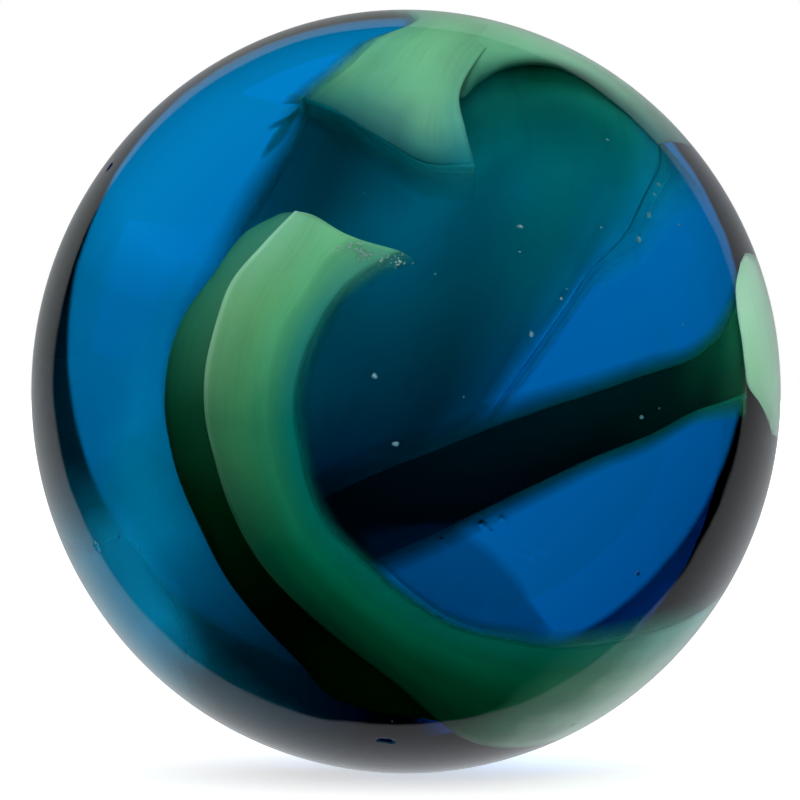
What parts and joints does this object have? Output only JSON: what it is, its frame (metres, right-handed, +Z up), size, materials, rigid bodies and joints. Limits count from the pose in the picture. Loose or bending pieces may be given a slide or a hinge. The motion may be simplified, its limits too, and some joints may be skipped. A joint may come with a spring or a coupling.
{
  "type": "glass marble",
  "caption": "Toy marble: a solid ball of clear blue glass with a pale green swirl fused into it, for rolling, games and display.",
  "frame": {"origin": "the middle of the ball", "axes": "+Z up, along the ball's slightly longer axis; +Y away from the side on which the C-shaped swirl shows; +X to the right of that view"},
  "size_m": [0.016, 0.016, 0.0164],
  "materials": {
    "blue_glass": "polished clear blue glass, with a few seeds, pits and fine scratches",
    "green_glass": "opaque pale green glass, fused into the clear glass"
  },
  "bodies": {
    "root": {"marble": "blue_glass"}
  },
  "joints": []
}
